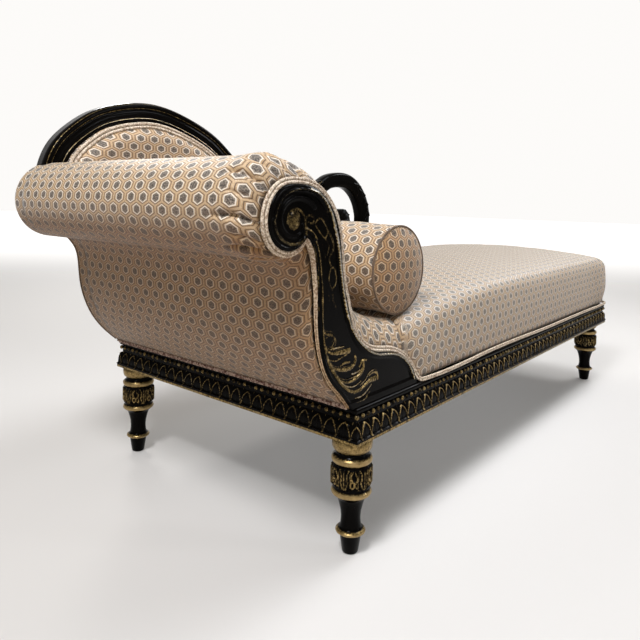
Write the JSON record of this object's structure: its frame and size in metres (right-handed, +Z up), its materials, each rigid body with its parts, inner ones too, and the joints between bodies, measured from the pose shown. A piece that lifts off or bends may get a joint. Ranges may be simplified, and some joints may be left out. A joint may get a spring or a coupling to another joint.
{
  "type": "recamier",
  "caption": "Recamier with a rolled head, carved scroll facing, low shaped back ending in an open scroll, turned legs and a loose bolster.",
  "frame": {"origin": "on the floor, under the middle of the bounding box", "axes": "+X along the seat from the rolled head end to the foot, -Y towards the open side, +Z up"},
  "size_m": [1.882, 0.7718, 0.9011],
  "materials": {
    "ebonised_wood": "gloss black polish with worn gilt detail",
    "gilding": "worn gilt",
    "frame_timber": "sawn, unfinished",
    "hexagon_fabric": "woven hexagon lattice",
    "hessian": "plain weave",
    "jute_webbing": "plain weave",
    "dust_cloth": "matt black"
  },
  "bodies": {
    "frame": {"front_rail": "ebonised_wood", "back_rail": "ebonised_wood", "head_rail": "ebonised_wood", "foot_rail": "ebonised_wood", "corner_block_head_front": "frame_timber", "corner_block_head_back": "frame_timber", "corner_block_foot_front": "frame_timber", "corner_block_foot_back": "frame_timber", "leg_head_front": "ebonised_wood", "leg_head_back": "ebonised_wood", "leg_foot_front": "ebonised_wood", "leg_foot_back": "ebonised_wood", "cross_rail_1": "frame_timber", "cross_rail_2": "frame_timber", "cross_rail_3": "frame_timber", "front_cleat": "frame_timber", "back_cleat": "frame_timber", "head_cleat": "frame_timber", "foot_cleat": "frame_timber", "seat_webbing": "jute_webbing", "seat_hessian": "hessian", "dust_cover": "dust_cloth", "head_front_board": "frame_timber", "head_back_board": "frame_timber", "head_roll_core": "frame_timber", "head_outside_panel": "hexagon_fabric", "head_inside_pad": "hexagon_fabric", "head_front_border": "hexagon_fabric", "head_end_pad": "hexagon_fabric", "front_scroll_facing": "ebonised_wood", "front_scroll_eye": "gilding", "seat_pad": "hexagon_fabric", "back_head_stile": "ebonised_wood", "back_crest_rail": "ebonised_wood", "back_end_scroll": "ebonised_wood", "back_rosette": "ebonised_wood", "back_end_post": "ebonised_wood", "back_inside_pad": "hexagon_fabric", "back_hessian": "hessian", "back_outside_panel": "hexagon_fabric"},
    "bolster": {"bolster": "hexagon_fabric"}
  },
  "joints": [
    {"name": "bolster_lift", "type": "slide", "parent": "frame", "child": "bolster", "axis": [0, 0, 1], "range_m": [0, 0.36]}
  ]
}
